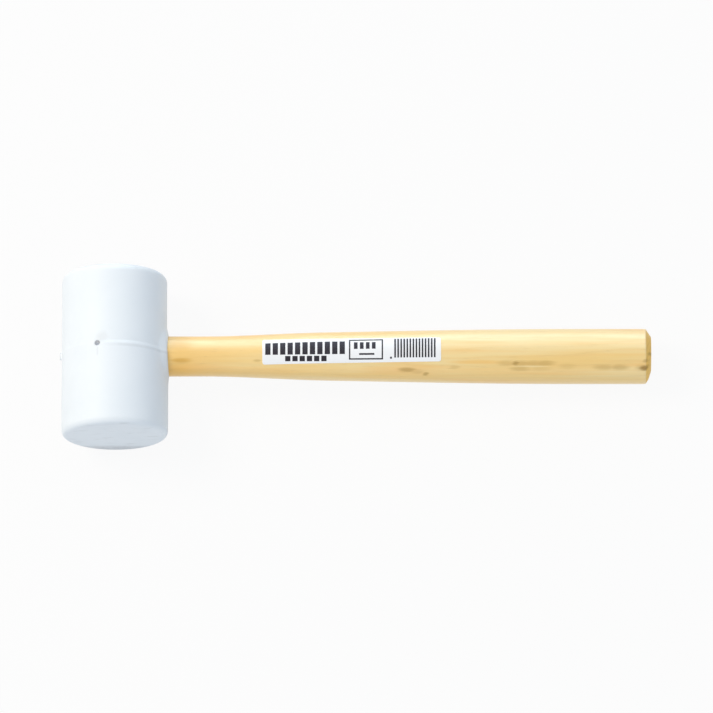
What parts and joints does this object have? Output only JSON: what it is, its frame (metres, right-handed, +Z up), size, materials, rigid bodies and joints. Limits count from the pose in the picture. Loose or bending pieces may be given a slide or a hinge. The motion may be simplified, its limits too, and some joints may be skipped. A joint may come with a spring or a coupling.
{
  "type": "rubber mallet",
  "caption": "White rubber mallet: a cylindrical moulded head with flat striking faces, cross-hung on a swelling turned wooden handle that is nailed in its socket.",
  "frame": {"origin": "on the surface that the mallet lies on, at the middle of its box in X and Y", "axes": "+X from the head towards the butt of the handle, +Y along the head's axis, +Z up with the mallet lying on its side"},
  "size_m": [0.3332, 0.094, 0.0606],
  "materials": {
    "white_rubber": "satin",
    "pale_hardwood": "satin",
    "nail_steel": "satin",
    "label_film": "satin"
  },
  "bodies": {
    "root": {"head": "white_rubber", "handle": "pale_hardwood", "nail": "nail_steel", "label": "label_film"}
  },
  "joints": []
}
